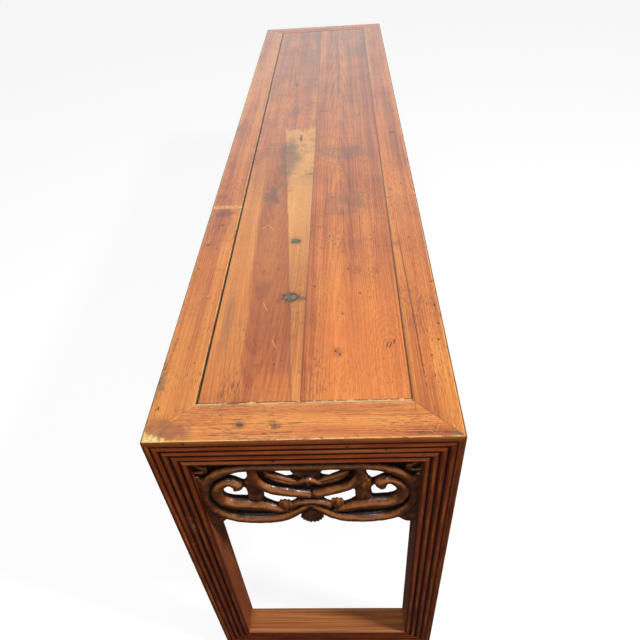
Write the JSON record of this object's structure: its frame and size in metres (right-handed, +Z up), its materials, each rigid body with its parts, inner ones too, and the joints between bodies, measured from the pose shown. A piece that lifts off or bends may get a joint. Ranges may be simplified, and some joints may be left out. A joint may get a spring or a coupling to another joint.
{
  "type": "altar table",
  "caption": "Long narrow hardwood altar table with a reeded mitred frame, floating panel top, pierced carved aprons, square legs and a floor rail joining the legs at each end.",
  "frame": {"origin": "centre of the floor area under the table, at the level of the feet's undersides", "axes": "+Z up, +X along the table to the end that the picture shows, +Y across the table to that view's right"},
  "size_m": [2.15, 0.48, 0.82],
  "materials": {
    "frame_wood": "satin",
    "panel_wood": "satin",
    "inner_wood": "matte",
    "leg_wood": "satin",
    "foot_wood": "matte",
    "carving_wood": "satin",
    "peg_wood": "matte"
  },
  "bodies": {
    "root": {"top_long_member_right": "frame_wood", "top_long_member_left": "frame_wood", "top_end_member_near": "frame_wood", "top_end_member_far": "frame_wood", "top_board_right": "panel_wood", "top_board_left": "panel_wood", "top_batten_1": "inner_wood", "top_batten_2": "inner_wood", "top_batten_3": "inner_wood", "top_batten_4": "inner_wood", "top_batten_5": "inner_wood", "leg_near_right": "leg_wood", "leg_near_left": "leg_wood", "leg_far_right": "leg_wood", "leg_far_left": "leg_wood", "floor_rail_near": "leg_wood", "floor_rail_far": "leg_wood", "foot_near_right": "foot_wood", "foot_near_left": "foot_wood", "foot_far_right": "foot_wood", "foot_far_left": "foot_wood", "end_apron_near": "carving_wood", "end_apron_far": "carving_wood", "long_apron_right": "carving_wood", "long_apron_left": "carving_wood", "frame_pegs": "peg_wood", "rail_pegs": "peg_wood"}
  },
  "joints": []
}
